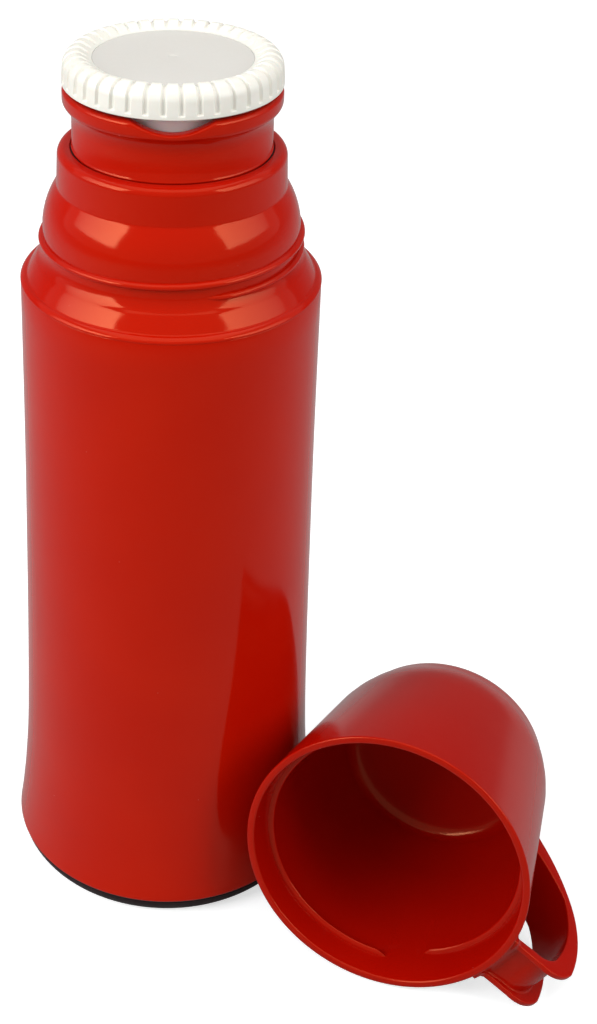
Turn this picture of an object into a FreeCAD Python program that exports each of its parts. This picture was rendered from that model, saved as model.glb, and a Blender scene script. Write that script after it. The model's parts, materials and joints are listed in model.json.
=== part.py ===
"""Glass-lined vacuum flask with a screw stopper and a cup that has a handle.

The origin is the centre of the flask's base on the surface it stands on. +Z is up
and the pouring notch in the collar faces -Y. The cup lies on its side in front of
the flask, on the +X side, with its mouth towards -Y.
All sizes are millimetres.
"""
import FreeCAD, Part
import math
import os
import re

import Sketcher

DIMENSIONS = {
    # Outer shell: a slightly waisted tube that flares out to its foot.
    "shell_bottom": 8.0,
    "shell_foot_radius": 57.5,
    "shell_foot_edge": 1.5,
    "shell_waist_height": 70.0,
    "shell_waist_radius": 52.25,
    "shell_flare_bend": 380.0,
    "shell_top": 236.6,
    "shell_top_radius": 48.8,
    "shell_wall": 2.1,
    "shell_foot_wall": 2.5,
    "shell_foot_height": 3.0,
    # Shoulder: threaded ring and dome that close the shell.
    "seam_gap": 0.4,
    "shoulder_radius": 49.0,
    "shoulder_edge": 0.3,
    "shoulder_bend": 2.6,
    "ledge_height": 238.6,
    "ledge_radius": 46.8,
    "slope_radius": 43.6,
    "slope_height": 243.8,
    "slope_bend": 30.0,
    "ledge_bend": 8.6,
    "thread_wall_bottom": 248.4,
    "thread_wall_radius": 41.25,
    "thread_wall_top": 256.8,
    "dome_bend": 26.0,
    "dome_foot_height": 269.4,
    "dome_foot_radius": 36.5,
    "dome_radius": 36.1,
    "dome_edge_height": 278.4,
    "dome_top": 281.4,
    "dome_edge_bend": 3.0,
    "dome_hole_radius": 31.8,
    "dome_inner_radius": 33.9,
    "dome_lip": 2.2,
    "dome_lip_slope": 2.0,
    "shoulder_wall": 2.3,
    "shoulder_inner_top": 255.8,
    "shoulder_inner_bottom": 247.9,
    "spigot_radius": 46.45,
    "spigot_wall": 1.3,
    "spigot_bottom": 226.0,
    "spigot_slope_bottom": 238.4,
    # Ridge that the cup screws on to.
    "cup_thread_pitch": 4.75,
    "cup_thread_turns": 1.45,
    "cup_thread_start": 246.6,
    "cup_thread_radius": 43.2,
    "cup_thread_foot": 2.6,
    "cup_thread_crest": 1.1,
    "cup_thread_angle": -81.5,
    # Pouring collar with a rolled rim and a notch.
    "collar_bottom": 276.3,
    "neck_radius": 31.35,
    "neck_top": 289.0,
    "rim_under_height": 294.6,
    "rim_under_radius": 33.5,
    "rim_under_bend": 9.0,
    "rim_radius": 34.1,
    "rim_bend": 1.3,
    "rim_side_bottom": 295.9,
    "rim_side_top": 299.4,
    "rim_top": 300.6,
    "bore_radius": 29.6,
    "bore_bottom": 284.8,
    "throat_radius": 23.8,
    "throat_top": 278.4,
    "bore_edge": 0.8,
    "snap_bead": 0.45,
    "snap_height": 278.6,
    "notch_half_width": 11.4,
    "notch_depth": 3.1,
    "notch_bend": 22.5,
    # Screw thread between collar and stopper.
    "thread_root": 0.3,
    "stopper_pitch": 4.0,
    "stopper_thread_foot": 1.5,
    "stopper_thread_crest": 0.7,
    "collar_thread_radius": 28.35,
    "collar_thread_start": 288.2,
    "collar_thread_turns": 1.4,
    "plug_thread_radius": 28.95,
    "plug_thread_start": 286.5,
    "plug_thread_turns": 1.25,
    # Stopper.
    "knob_radius": 34.1,
    "knob_bottom": 301.8,
    "knob_band": 1.7,
    "knob_side_top": 306.6,
    "knob_side_radius": 33.8,
    "knob_edge_bend": 4.8,
    "knob_crown_radius": 29.4,
    "knob_crown": 311.4,
    "knob_dish_radius": 25.0,
    "knob_dish_edge": 310.6,
    "knob_dish_floor": 307.4,
    "knob_wall": 2.4,
    "knob_top_wall": 2.0,
    "rib_count": 40,
    "rib_groove_width": 1.7,
    "rib_groove_depth": 0.9,
    "rib_groove_run": 0.6,
    "rib_groove_clear": 3.0,
    "rib_inner_radius": 26.2,
    "disc_radius": 24.7,
    "disc_thickness": 1.9,
    "disc_edge": 0.4,
    "plug_flange_radius": 30.5,
    "plug_flange_bottom": 302.2,
    "plug_top": 304.6,
    "plug_radius": 27.9,
    "plug_skirt_bottom": 285.4,
    "plug_cone_radius": 23.2,
    "plug_cone_bottom": 279.4,
    "plug_step": 277.1,
    "stem_radius": 19.6,
    "stem_bottom": 267.6,
    "plug_wall": 1.8,
    "end_cap_thickness": 2.2,
    "end_cap_spigot": 3.0,
    "end_cap_bend": 1.2,
    "gasket_inner_radius": 19.75,
    "gasket_outer_radius": 23.3,
    "gasket_bottom": 274.65,
    "gasket_top": 277.0,
    "gasket_edge": 0.5,
    "foam_gap": 0.3,
    "foam_top_gap": 0.6,
    # Glass liner: two bottles fused at the lip with a vacuum between them.
    "lip_height": 274.5,
    "lip_thickness": 2.0,
    "lip_radius": 25.3,
    "lip_edge": 0.8,
    "glass_wall": 1.5,
    "inner_neck_radius": 20.7,
    "outer_neck_radius": 24.4,
    "glass_neck_bottom": 259.0,
    "glass_shoulder_bend": 30.0,
    "inner_glass_radius": 39.3,
    "inner_glass_shoulder": 229.0,
    "inner_glass_side_bottom": 48.0,
    "inner_glass_bottom": 22.5,
    "outer_glass_radius": 44.0,
    "outer_glass_shoulder": 229.0,
    "outer_glass_side_bottom": 48.0,
    "outer_glass_bottom": 17.0,
    "glass_bottom_bend": 46.0,
    "tip_radius": 3.0,
    "tip_end_radius": 1.4,
    "tip_end_bend": 1.9,
    "tip_end_rise": 0.4,
    "tip_root_rise": 0.3,
    "tip_side_bend": 9.0,
    "tip_height": 5.0,
    "pad_count": 3,
    "pad_radius": 4.0,
    "pad_height": 120.0,
    "pad_gap": 0.02,
    # Soft rings and cushions inside.
    "neck_seal_inner": 23.9,
    "neck_seal_outer": 27.0,
    "centring_top": 272.3,
    "centring_bottom": 263.5,
    "centring_outer": 33.3,
    "collar_seal_bottom": 279.6,
    "collar_seal_top": 280.8,
    "seam_seal_inset": 0.3,
    "cushion_bottom": 6.2,
    "cushion_radius": 38.0,
    "cushion_well_radius": 5.0,
    "cushion_gap": 0.2,
    "cushion_rim": 3.0,
    "cushion_rim_height": 30.0,
    "cushion_bend": 48.5,
    # Base.
    "base_edge_height": 7.4,
    "base_edge_radius": 56.9,
    "base_foot_radius": 52.5,
    "base_bend": 10.0,
    "base_bottom": 0.4,
    "base_recess_radius": 44.0,
    "base_recess": 3.2,
    "base_recess_slope": 1.5,
    "base_floor": 6.0,
    "base_spigot_radius": 54.0,
    "base_spigot_wall": 2.0,
    "base_spigot_top": 15.0,
    "foot_groove_inner": 47.0,
    "foot_groove_outer": 50.6,
    "foot_groove_depth": 2.4,
    "foot_fit": 0.1,
    "base_gasket_inset": 0.8,
    # Cup: a tapered bowl that rounds in to a standing ring at its closed end.
    "cup_radius": 50.8,
    "cup_draft": 0.125,
    "cup_wall": 2.6,
    "cup_lip": 0.6,
    "cup_skirt": 9.0,
    "cup_skirt_wall": 3.4,
    "cup_side_wall": 2.8,
    "cup_cone_length": 57.0,
    "cup_dome_length": 76.5,
    "cup_dome_radius": 38.8,
    "cup_dome_bend": 62.0,
    "cup_end_length": 86.0,
    "cup_end_radius": 32.2,
    "cup_end_bend": 14.0,
    "cup_ring_radius": 29.8,
    "cup_recess_radius": 32.6,
    "cup_recess_length": 79.2,
    "cup_recess_edge": 1.0,
    "cup_floor_length": 76.4,
    "cup_floor_radius": 31.4,
    "cup_floor_bend": 5.6,
    "cup_corner_length": 71.8,
    "cup_corner_radius": 36.8,
    "cup_inner_bend": 55.0,
    "cup_ridge_root": 47.05,
    "cup_ridge_start": 9.6,
    "cup_ridge_turns": 0.97,
    "cup_ridge_radius": 43.1,
    "cup_ridge_foot": 2.6,
    "cup_ridge_crest": 1.0,
    # Handle, moulded in one with the cup: a strap with a flange along each edge.
    "handle_width": 20.4,
    "flange_thickness": 2.2,
    "strap_thickness": 2.2,
    "arm_root_radius": 48.4,
    "arm_start": 3.0,
    "arm_edge": 6.4,
    "arm_end_radius": 63.3,
    "arm_end": 3.9,
    "corner_bend": 10.0,
    "grip_radius": 73.9,
    "grip_start": 11.0,
    "grip_bend": 49.0,
    "grip_end_radius": 63.6,
    "grip_end": 45.6,
    "tail_bend": 70.0,
    "tail_root_radius": 41.4,
    "tail_end": 64.8,
    "finger_arm_root_radius": 48.1,
    "finger_arm_radius": 58.0,
    "finger_arm": 7.2,
    "finger_corner_bend": 8.0,
    "finger_grip_radius": 66.9,
    "finger_grip_start": 12.8,
    "finger_grip_bend": 39.0,
    "finger_grip_end_radius": 61.7,
    "finger_grip_end": 43.6,
    "finger_root_radius": 42.4,
    "finger_root": 56.6,
    "channel_start_radius": 53.4,
    "channel_start": 3.8,
    "channel_end_radius": 64.0,
    "channel_end": 42.1,
    "channel_grip_bend": 42.0,
    "channel_corner_bend": 9.5,
    "channel_clear": 6.0,
    # Where the cup lies.
    "cup_mouth_x": 75.6,
    "cup_mouth_y": -80.6,
    "cup_mouth_height": 51.25,
    "cup_turn": 22.8,
    "cup_tilt": 8.0,
    "handle_turn": 31.5,
}

ON_AXIS = 1e-9
FULL_TURN = 360.0

doc = FreeCAD.newDocument("vacuum_flask")
sheet = doc.addObject("Spreadsheet::Sheet", "Dimensions")
for row, (alias, value) in enumerate(DIMENSIONS.items(), start=1):
    sheet.set(f"A{row}", alias)
    sheet.set(f"B{row}", str(value))
    sheet.setAlias(f"B{row}", alias)
doc.recompute()


def bound(text):
    """Turns a plain expression over dimension names into one over the sheet's cells."""
    return re.sub(r"[a-z][a-z_]+", lambda word: f"Dimensions.{word.group(0)}", str(text))


def size(text):
    """The value that an expression over dimension names has now."""
    return float(sheet.evalExpression(bound(text)))


def left(radius):
    """An arc of this radius that turns left on its way to the point."""
    return radius, True


def right(radius):
    """An arc of this radius that turns right on its way to the point."""
    return radius, False


def arc_between(start, end, radius, turns_left):
    """The short arc of a given radius from one point to another."""
    chord = end - start
    side = FreeCAD.Vector(-chord.y, chord.x, 0).normalize()
    rise = math.sqrt(max(radius * radius - chord.Length ** 2 / 4, 0.0))
    centre = (start + end) / 2 + side * (rise if turns_left else -rise)
    first, last = (start, end) if turns_left else (end, start)
    angles = [math.atan2(point.y - centre.y, point.x - centre.x) for point in (first, last)]
    circle = Part.Circle(centre, FreeCAD.Vector(0, 0, 1), radius)
    return Part.ArcOfCircle(circle, angles[0], angles[1])


def bind_coordinate(sketch, edge, end, kind, text):
    """Holds one coordinate of an edge's end at the value of an expression."""
    value = size(text)
    if abs(value) < ON_AXIS:
        axis = -2 if kind == "DistanceX" else -1
        sketch.addConstraint(Sketcher.Constraint("PointOnObject", edge, end, axis))
        return
    number = sketch.addConstraint(Sketcher.Constraint(kind, -1, 1, edge, end, value))
    sketch.setExpression(f"Constraints[{number}]", bound(text))


def outline(body, name, points, plane="XZ_Plane"):
    """A closed sketch on one of the body's own planes.

    Each point is (x, y) in expressions, with left(radius) or right(radius) as a
    third item where an arc leads to it.
    """
    sketch = body.newObject("Sketcher::SketchObject", name)
    planes = [feature for feature in body.Origin.OriginFeatures if feature.Role == plane]
    sketch.AttachmentSupport = [(planes[0], "")]
    sketch.MapMode = "FlatFace"
    places = [FreeCAD.Vector(size(point[0]), size(point[1]), 0) for point in points]
    tips = []
    for index, point in enumerate(points):
        start, end = places[index - 1], places[index]
        if len(point) == 3:
            radius, turns_left = point[2]
            edge = sketch.addGeometry(arc_between(start, end, size(radius), turns_left))
            number = sketch.addConstraint(Sketcher.Constraint("Radius", edge, size(radius)))
            sketch.setExpression(f"Constraints[{number}]", bound(radius))
            tips.append((edge, 1, 2) if turns_left else (edge, 2, 1))
        else:
            tips.append((sketch.addGeometry(Part.LineSegment(start, end)), 1, 2))
    for index, point in enumerate(points):
        edge, first, last = tips[index]
        after, after_first, after_last = tips[(index + 1) % len(points)]
        sketch.addConstraint(Sketcher.Constraint("Coincident", edge, last, after, after_first))
        bind_coordinate(sketch, edge, last, "DistanceX", point[0])
        bind_coordinate(sketch, edge, last, "DistanceY", point[1])
    return sketch


def new_body(name):
    """An empty body whose label is its node's name."""
    body = doc.addObject("PartDesign::Body", name)
    body.Label = name
    return body


def turned(name, points):
    """A body turned about the flask's axis from one outline of (radius, height) points."""
    body = new_body(name)
    spin(body, f"{name}_outline", points)
    return body


def spin(body, name, points):
    """Adds a full revolution of an outline to a body."""
    sketch = outline(body, name, points)
    sketch.Visibility = False
    turn = body.newObject("PartDesign::Revolution", f"{name}_turned")
    turn.Profile = sketch
    turn.ReferenceAxis = (sketch, ["V_Axis"])
    turn.Angle = FULL_TURN
    return turn


def ridge(body, name, root, crest, start, foot, top, pitch, turns):
    """Adds a right-handed helical ridge. root and crest are radii, start is its lowest height."""
    points = [
        (root, start),
        (crest, f"{start} + ({foot} - {top}) / 2"),
        (crest, f"{start} + ({foot} + {top}) / 2"),
        (root, f"{start} + {foot}"),
    ]
    sketch = outline(body, name, points)
    doc.recompute()
    helix = body.newObject("PartDesign::AdditiveHelix", f"{name}_swept")
    helix.Profile = sketch
    helix.ReferenceAxis = (sketch, ["V_Axis"])
    helix.Mode = "pitch-turns-angle"
    helix.setExpression("Pitch", bound(pitch))
    helix.setExpression("Turns", bound(turns))
    helix.Angle = 0
    helix.LeftHanded = False
    helix.Reversed = False
    return helix


def cut(body, name, points, width, both_sides=True, reversed_cut=False):
    """Cuts an outline on the XZ plane out of a body, and checks that material went."""
    doc.recompute()
    before = body.Shape.Volume
    sketch = outline(body, name, points)
    pocket = body.newObject("PartDesign::Pocket", f"{name}_cut")
    pocket.Profile = sketch
    pocket.Midplane = both_sides
    pocket.Reversed = reversed_cut
    pocket.setExpression("Length", bound(width))
    doc.recompute()
    if body.Shape.Volume >= before - 1.0:
        raise RuntimeError(f"{name} removed nothing")
    return pocket


def make_shell():
    """Red outer shell, open at both ends."""
    wall = "shell_wall"
    foot_inner = "shell_foot_radius - shell_foot_wall"
    return turned("outer_shell", [
        (foot_inner, "shell_bottom"),
        ("shell_foot_radius", "shell_bottom"),
        ("shell_foot_radius", "shell_bottom + shell_foot_edge"),
        ("shell_waist_radius", "shell_waist_height", right("shell_flare_bend")),
        ("shell_top_radius", "shell_top"),
        (f"shell_top_radius - {wall}", "shell_top"),
        (f"shell_waist_radius - {wall}", "shell_waist_height"),
        (foot_inner, "shell_bottom + shell_foot_height", left(f"shell_flare_bend + {wall}")),
    ])


def make_shoulder():
    """Threaded shoulder and dome with a spigot that plugs into the shell."""
    seam = "shell_top + seam_gap"
    shoulder = turned("shoulder", [
        ("spigot_radius", "spigot_bottom"),
        ("spigot_radius", seam),
        ("shoulder_radius", seam),
        ("shoulder_radius", f"{seam} + shoulder_edge"),
        ("ledge_radius", "ledge_height", left("shoulder_bend")),
        ("slope_radius", "slope_height", left("slope_bend")),
        ("thread_wall_radius", "thread_wall_bottom", right("ledge_bend")),
        ("thread_wall_radius", "thread_wall_top"),
        ("dome_foot_radius", "dome_foot_height", left("dome_bend")),
        ("dome_radius", "dome_edge_height"),
        ("dome_radius - dome_edge_bend", "dome_top", left("dome_edge_bend")),
        ("dome_hole_radius", "dome_top"),
        ("dome_hole_radius", "dome_top - dome_lip"),
        ("dome_inner_radius", "dome_top - dome_lip - dome_lip_slope"),
        ("dome_inner_radius", "dome_foot_height"),
        ("thread_wall_radius - shoulder_wall", "shoulder_inner_top", right("dome_bend")),
        ("thread_wall_radius - shoulder_wall", "shoulder_inner_bottom"),
        ("spigot_radius - spigot_wall", "spigot_slope_bottom"),
        ("spigot_radius - spigot_wall", "spigot_bottom"),
    ])
    ridge(shoulder, "cup_thread", "thread_wall_radius - thread_root", "cup_thread_radius", "cup_thread_start",
          "cup_thread_foot", "cup_thread_crest", "cup_thread_pitch", "cup_thread_turns")
    shoulder.setExpression("Placement.Rotation.Angle", bound("cup_thread_angle"))
    return shoulder


def make_collar():
    """Pouring collar: rolled rim, neck, throat, inner thread and the notch at the front."""
    collar = turned("pour_collar", [
        ("throat_radius", "collar_bottom"),
        ("neck_radius", "collar_bottom"),
        ("neck_radius", "snap_height - snap_bead"),
        ("neck_radius + snap_bead", "snap_height", left("snap_bead")),
        ("neck_radius", "snap_height + snap_bead", left("snap_bead")),
        ("neck_radius", "neck_top"),
        ("rim_under_radius", "rim_under_height", right("rim_under_bend")),
        ("rim_radius", "rim_side_bottom", left("rim_bend")),
        ("rim_radius", "rim_side_top"),
        ("rim_radius - rim_bend", "rim_top", left("rim_bend")),
        ("bore_radius + bore_edge", "rim_top"),
        ("bore_radius", "rim_top - bore_edge"),
        ("bore_radius", "bore_bottom"),
        ("throat_radius", "throat_top"),
    ])
    ridge(collar, "bore_thread", "bore_radius + thread_root", "collar_thread_radius", "collar_thread_start",
          "stopper_thread_foot", "stopper_thread_crest", "stopper_pitch", "collar_thread_turns")
    top = "rim_top + notch_depth"
    cut(collar, "notch", [
        ("-notch_half_width", top),
        ("-notch_half_width", "rim_top"),
        ("notch_half_width", "rim_top", left("notch_bend")),
        ("notch_half_width", top),
    ], "rim_radius + notch_depth", both_sides=False, reversed_cut=True)
    return collar


def knob_top_points():
    """The knob's outer surface from its lower edge to the edge of its dish."""
    return [
        ("knob_radius", "knob_bottom"),
        ("knob_radius", "knob_bottom + knob_band"),
        ("knob_side_radius", "knob_side_top"),
        ("knob_crown_radius", "knob_crown", left("knob_edge_bend")),
        ("knob_dish_radius", "knob_dish_edge"),
    ]


def make_knob():
    """White knob with ribs that run up its side and in over its top to a recessed disc."""
    inner = "knob_radius - knob_wall"
    knob = turned("knob", knob_top_points() + [
        ("knob_dish_radius", "knob_dish_floor"),
        (0, "knob_dish_floor"),
        (0, "knob_dish_floor - knob_top_wall"),
        (inner, "knob_dish_floor - knob_top_wall"),
        (inner, "knob_bottom"),
    ])
    doc.recompute()
    depth = "rib_groove_depth"
    clear = "rib_groove_clear"
    groove = cut(knob, "rib_groove", [
        (f"knob_radius + {clear}", "knob_bottom + knob_band"),
        (f"knob_radius + {clear}", f"knob_crown + {clear}"),
        ("rib_inner_radius", f"knob_crown + {clear}"),
        ("rib_inner_radius", f"knob_dish_edge - {depth}"),
        ("knob_crown_radius", f"knob_crown - {depth}"),
        (f"knob_side_radius - {depth}", "knob_side_top", right("knob_edge_bend")),
        (f"knob_radius - {depth}", "knob_bottom + knob_band + rib_groove_run"),
        ("knob_radius", "knob_bottom + knob_band"),
    ], "rib_groove_width")
    ribs = knob.newObject("PartDesign::PolarPattern", "ribs")
    ribs.Originals = [groove]
    ribs.Axis = (groove.Profile[0], ["V_Axis"])
    ribs.Angle = FULL_TURN
    ribs.Occurrences = int(size("rib_count"))
    ribs.setExpression("Occurrences", bound("rib_count"))
    knob.Tip = ribs
    return knob


def make_disc():
    """Grey disc set into the knob's dish."""
    floor = "knob_dish_floor"
    return turned("knob_disc", [
        (0, floor),
        ("disc_radius", floor),
        ("disc_radius", f"{floor} + disc_thickness - disc_edge"),
        ("disc_radius - disc_edge", f"{floor} + disc_thickness", left("disc_edge")),
        (0, f"{floor} + disc_thickness"),
    ])


def make_plug():
    """Hollow translucent plug: flange in the knob, threaded skirt, cone and stem."""
    wall = "plug_wall"
    plug = turned("stopper_plug", [
        (f"stem_radius - {wall}", "stem_bottom"),
        ("stem_radius", "stem_bottom"),
        ("stem_radius", "plug_step"),
        ("plug_cone_radius", "plug_step"),
        ("plug_cone_radius", "plug_cone_bottom"),
        ("plug_radius", "plug_skirt_bottom"),
        ("plug_radius", "plug_flange_bottom"),
        ("plug_flange_radius", "plug_flange_bottom"),
        ("plug_flange_radius", "plug_top"),
        (f"plug_radius - {wall}", "plug_top"),
        (f"plug_radius - {wall}", f"plug_skirt_bottom + {wall}"),
        (f"stem_radius - {wall}", f"plug_step + {wall}"),
    ])
    ridge(plug, "plug_thread", "plug_radius - thread_root", "plug_thread_radius", "plug_thread_start",
          "stopper_thread_foot", "stopper_thread_crest", "stopper_pitch", "plug_thread_turns")
    return plug


def make_end_cap():
    """Cap pressed into the stem's lower end."""
    bottom = "stem_bottom - end_cap_thickness"
    return turned("stopper_end_cap", [
        (0, bottom),
        ("stem_radius - end_cap_bend", bottom),
        ("stem_radius", f"{bottom} + end_cap_bend", left("end_cap_bend")),
        ("stem_radius", "stem_bottom"),
        ("stem_radius - plug_wall", "stem_bottom"),
        ("stem_radius - plug_wall", "stem_bottom + end_cap_spigot"),
        (0, "stem_bottom + end_cap_spigot"),
    ])


def make_foam_core():
    """Insulating foam that fills the plug."""
    gap = "foam_gap"
    return turned("stopper_foam", [
        (0, f"stem_bottom + end_cap_spigot + {gap}"),
        (f"stem_radius - plug_wall - {gap}", f"stem_bottom + end_cap_spigot + {gap}"),
        (f"stem_radius - plug_wall - {gap}", f"plug_step + plug_wall + 2 * {gap}"),
        (f"plug_radius - plug_wall - {gap}", f"plug_skirt_bottom + plug_wall + 2 * {gap}"),
        (f"plug_radius - plug_wall - {gap}", "plug_top - foam_top_gap"),
        (0, "plug_top - foam_top_gap"),
    ])


def make_gasket():
    """Soft ring under the plug's cone that seals on the glass lip."""
    edge = "gasket_edge"
    return turned("stopper_gasket", [
        ("gasket_inner_radius", "gasket_bottom"),
        (f"gasket_outer_radius - {edge}", "gasket_bottom"),
        ("gasket_outer_radius", f"gasket_bottom + {edge}", left(edge)),
        ("gasket_outer_radius", f"gasket_top - {edge}"),
        (f"gasket_outer_radius - {edge}", "gasket_top", left(edge)),
        ("gasket_inner_radius", "gasket_top"),
    ])


def make_inner_glass():
    """Inner bottle, with the rounded lip that is fused to the outer bottle."""
    wall = "glass_wall"
    neck = "inner_neck_radius"
    seat = "lip_height - lip_thickness"
    edge = "lip_edge"
    body_radius = "inner_glass_radius"
    return turned("inner_glass", [
        (0, "inner_glass_bottom"),
        (body_radius, "inner_glass_side_bottom", left("glass_bottom_bend")),
        (body_radius, "inner_glass_shoulder"),
        (f"{neck} + {wall}", "glass_neck_bottom", left("glass_shoulder_bend + 4")),
        (f"{neck} + {wall}", seat),
        ("lip_radius", seat),
        ("lip_radius", f"lip_height - {edge}"),
        (f"lip_radius - {edge}", "lip_height", left(edge)),
        (f"{neck} + {edge}", "lip_height"),
        (neck, f"lip_height - {edge}", left(edge)),
        (neck, "glass_neck_bottom"),
        (f"{body_radius} - {wall}", "inner_glass_shoulder - 0.5", right("glass_shoulder_bend + 3")),
        (f"{body_radius} - {wall}", "inner_glass_side_bottom + 0.5"),
        (0, f"inner_glass_bottom + {wall}", right("glass_bottom_bend - 1")),
    ])


def make_outer_glass():
    """Outer bottle with the sealed tip where the air was drawn out."""
    wall = "glass_wall"
    neck = "outer_neck_radius"
    seat = "lip_height - lip_thickness"
    body_radius = "outer_glass_radius"
    bottom = "outer_glass_bottom"
    return turned("outer_glass", [
        (0, f"{bottom} - tip_height"),
        ("tip_end_radius", f"{bottom} - tip_height + tip_end_rise", left("tip_end_bend")),
        ("tip_radius", f"{bottom} + tip_root_rise", right("tip_side_bend")),
        (body_radius, "outer_glass_side_bottom", left("glass_bottom_bend + 2")),
        (body_radius, "outer_glass_shoulder"),
        (neck, "glass_neck_bottom + 1.5", left("glass_shoulder_bend + 6")),
        (neck, seat),
        (f"{neck} - {wall}", seat),
        (f"{neck} - {wall}", "glass_neck_bottom + 1"),
        (f"{body_radius} - {wall}", "outer_glass_shoulder - 0.5", right("glass_shoulder_bend + 5")),
        (f"{body_radius} - {wall}", "outer_glass_side_bottom + 0.5"),
        (0, f"{bottom} + {wall}", right("glass_bottom_bend + 1")),
    ])


def make_spacer_pads():
    """Three small pads that keep the two bottles apart."""
    inner = size("inner_glass_radius + pad_gap")
    outer = size("outer_glass_radius - glass_wall - pad_gap")
    height = size("4 * pad_radius")
    gap = Part.makeCylinder(outer, height).cut(Part.makeCylinder(inner, height))
    gap.translate(FreeCAD.Vector(0, 0, size("pad_height - 2 * pad_radius")))
    count = int(size("pad_count"))
    pads = []
    for number in range(count):
        plug = Part.makeCylinder(size("pad_radius"), 2 * outer, FreeCAD.Vector(0, 0, size("pad_height")),
                                 FreeCAD.Vector(1, 0, 0))
        plug.rotate(FreeCAD.Vector(0, 0, 0), FreeCAD.Vector(0, 0, 1), FULL_TURN * number / count)
        pads.append(gap.common(plug).Solids[0])
    feature = doc.addObject("Part::Feature", "spacer_pads")
    feature.Label = "spacer_pads"
    feature.Shape = Part.makeCompound(pads)
    return feature


def ring(name, inner, outer, bottom, top):
    """A plain ring of rectangular section."""
    return turned(name, [(inner, bottom), (outer, bottom), (outer, top), (inner, top)])


def make_cushion():
    """Soft cup that carries the liner's rounded bottom."""
    well = "cushion_well_radius"
    return turned("bottom_cushion", [
        (well, "cushion_bottom"),
        ("cushion_radius", "cushion_bottom"),
        ("cushion_radius", "cushion_rim_height"),
        ("cushion_radius - cushion_rim", "cushion_rim_height"),
        (well, "outer_glass_bottom - cushion_gap", right("cushion_bend")),
    ])


def make_base_plate():
    """Black base that closes the shell. It is recessed underneath and grooved for the foot ring."""
    bottom = "base_bottom"
    spigot = "base_spigot_radius"
    return turned("base_plate", [
        (0, f"{bottom} + base_recess"),
        ("base_recess_radius", f"{bottom} + base_recess"),
        ("base_recess_radius + base_recess_slope", bottom),
        ("foot_groove_inner", bottom),
        ("foot_groove_inner", f"{bottom} + foot_groove_depth"),
        ("foot_groove_outer", f"{bottom} + foot_groove_depth"),
        ("foot_groove_outer", bottom),
        ("base_foot_radius", bottom),
        ("base_edge_radius", "base_edge_height", left("base_bend")),
        (spigot, "base_edge_height"),
        (spigot, "base_spigot_top"),
        (f"{spigot} - base_spigot_wall", "base_spigot_top"),
        (f"{spigot} - base_spigot_wall", "base_floor"),
        (0, "base_floor"),
    ])


def bowl_points():
    """Section of the cup, as radius and distance from its mouth."""
    cone_end = "cup_radius - cup_draft * cup_cone_length"
    skirt_radius = "cup_radius - cup_draft * cup_skirt - cup_skirt_wall"
    inner_end = f"{cone_end} - cup_side_wall"
    return [
        ("cup_radius - cup_wall", 0),
        ("cup_radius - cup_lip", 0),
        ("cup_radius - cup_draft * cup_lip", "cup_lip", left("cup_lip")),
        (cone_end, "cup_cone_length"),
        ("cup_dome_radius", "cup_dome_length", left("cup_dome_bend")),
        ("cup_end_radius", "cup_end_length", left("cup_end_bend")),
        ("cup_ring_radius", "cup_end_length"),
        ("cup_recess_radius", "cup_recess_length + cup_lip"),
        ("cup_recess_radius - cup_recess_edge", "cup_recess_length"),
        (0, "cup_recess_length"),
        (0, "cup_floor_length"),
        ("cup_floor_radius", "cup_floor_length"),
        ("cup_corner_radius", "cup_corner_length", right("cup_floor_bend")),
        (inner_end, "cup_cone_length", right("cup_inner_bend")),
        (skirt_radius, "cup_skirt"),
    ]


def make_cup():
    """Cup and handle, moulded as one, lying on its side with its mouth to the front."""
    cup = turned("cup", bowl_points())
    ridge(cup, "cup_ridge", "cup_ridge_root", "cup_ridge_radius", "cup_ridge_start",
          "cup_ridge_foot", "cup_ridge_crest", "cup_thread_pitch", "cup_ridge_turns")
    add_handle(cup)
    tilt = math.radians(size("cup_tilt"))
    turn = math.radians(size("cup_turn"))
    axis = FreeCAD.Vector(math.sin(turn) * math.cos(tilt), math.cos(turn) * math.cos(tilt), -math.sin(tilt))
    level = FreeCAD.Vector(math.cos(turn), -math.sin(turn), 0)
    lean = FreeCAD.Rotation(axis, size("handle_turn"))
    outward = lean.multVec(level)
    mouth = FreeCAD.Vector(size("cup_mouth_x"), size("cup_mouth_y"), size("cup_mouth_height"))
    cup.Placement = FreeCAD.Placement(mouth, FreeCAD.Rotation(outward, axis.cross(outward), axis, "ZXY"))
    return cup


def add_handle(cup):
    """Strap handle in the cup's own XZ plane, on its +X side."""
    outer = [
        ("arm_root_radius", "arm_start"),
        ("arm_end_radius", "arm_end"),
        ("grip_radius", "grip_start", left("corner_bend")),
        ("grip_end_radius", "grip_end", left("grip_bend")),
        ("tail_root_radius", "tail_end", left("tail_bend")),
    ]
    finger = [
        ("finger_root_radius", "finger_root"),
        ("finger_grip_end_radius", "finger_grip_end", right("tail_bend")),
        ("finger_grip_radius", "finger_grip_start", right("finger_grip_bend")),
        ("finger_arm_radius", "finger_arm", right("finger_corner_bend")),
        ("finger_arm_root_radius", "arm_edge"),
    ]
    sketch = outline(cup, "handle_outline", outer + finger)
    pad = cup.newObject("PartDesign::Pad", "handle_pad")
    pad.Profile = sketch
    pad.Midplane = True
    pad.setExpression("Length", bound("handle_width"))
    strap = "strap_thickness"
    clear = "channel_clear"
    cut(cup, "handle_channel", [
        ("channel_start_radius", "channel_start"),
        ("channel_start_radius", f"arm_start - {clear}"),
        (f"grip_radius + {clear}", f"arm_start - {clear}"),
        (f"grip_radius + {clear}", "grip_end"),
        ("channel_end_radius", "channel_end"),
        (f"finger_grip_radius + {strap}", "finger_grip_start", right("channel_grip_bend")),
        ("finger_arm_radius", f"finger_arm - {strap}", right("channel_corner_bend")),
    ], "handle_width - 2 * flange_thickness")


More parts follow.
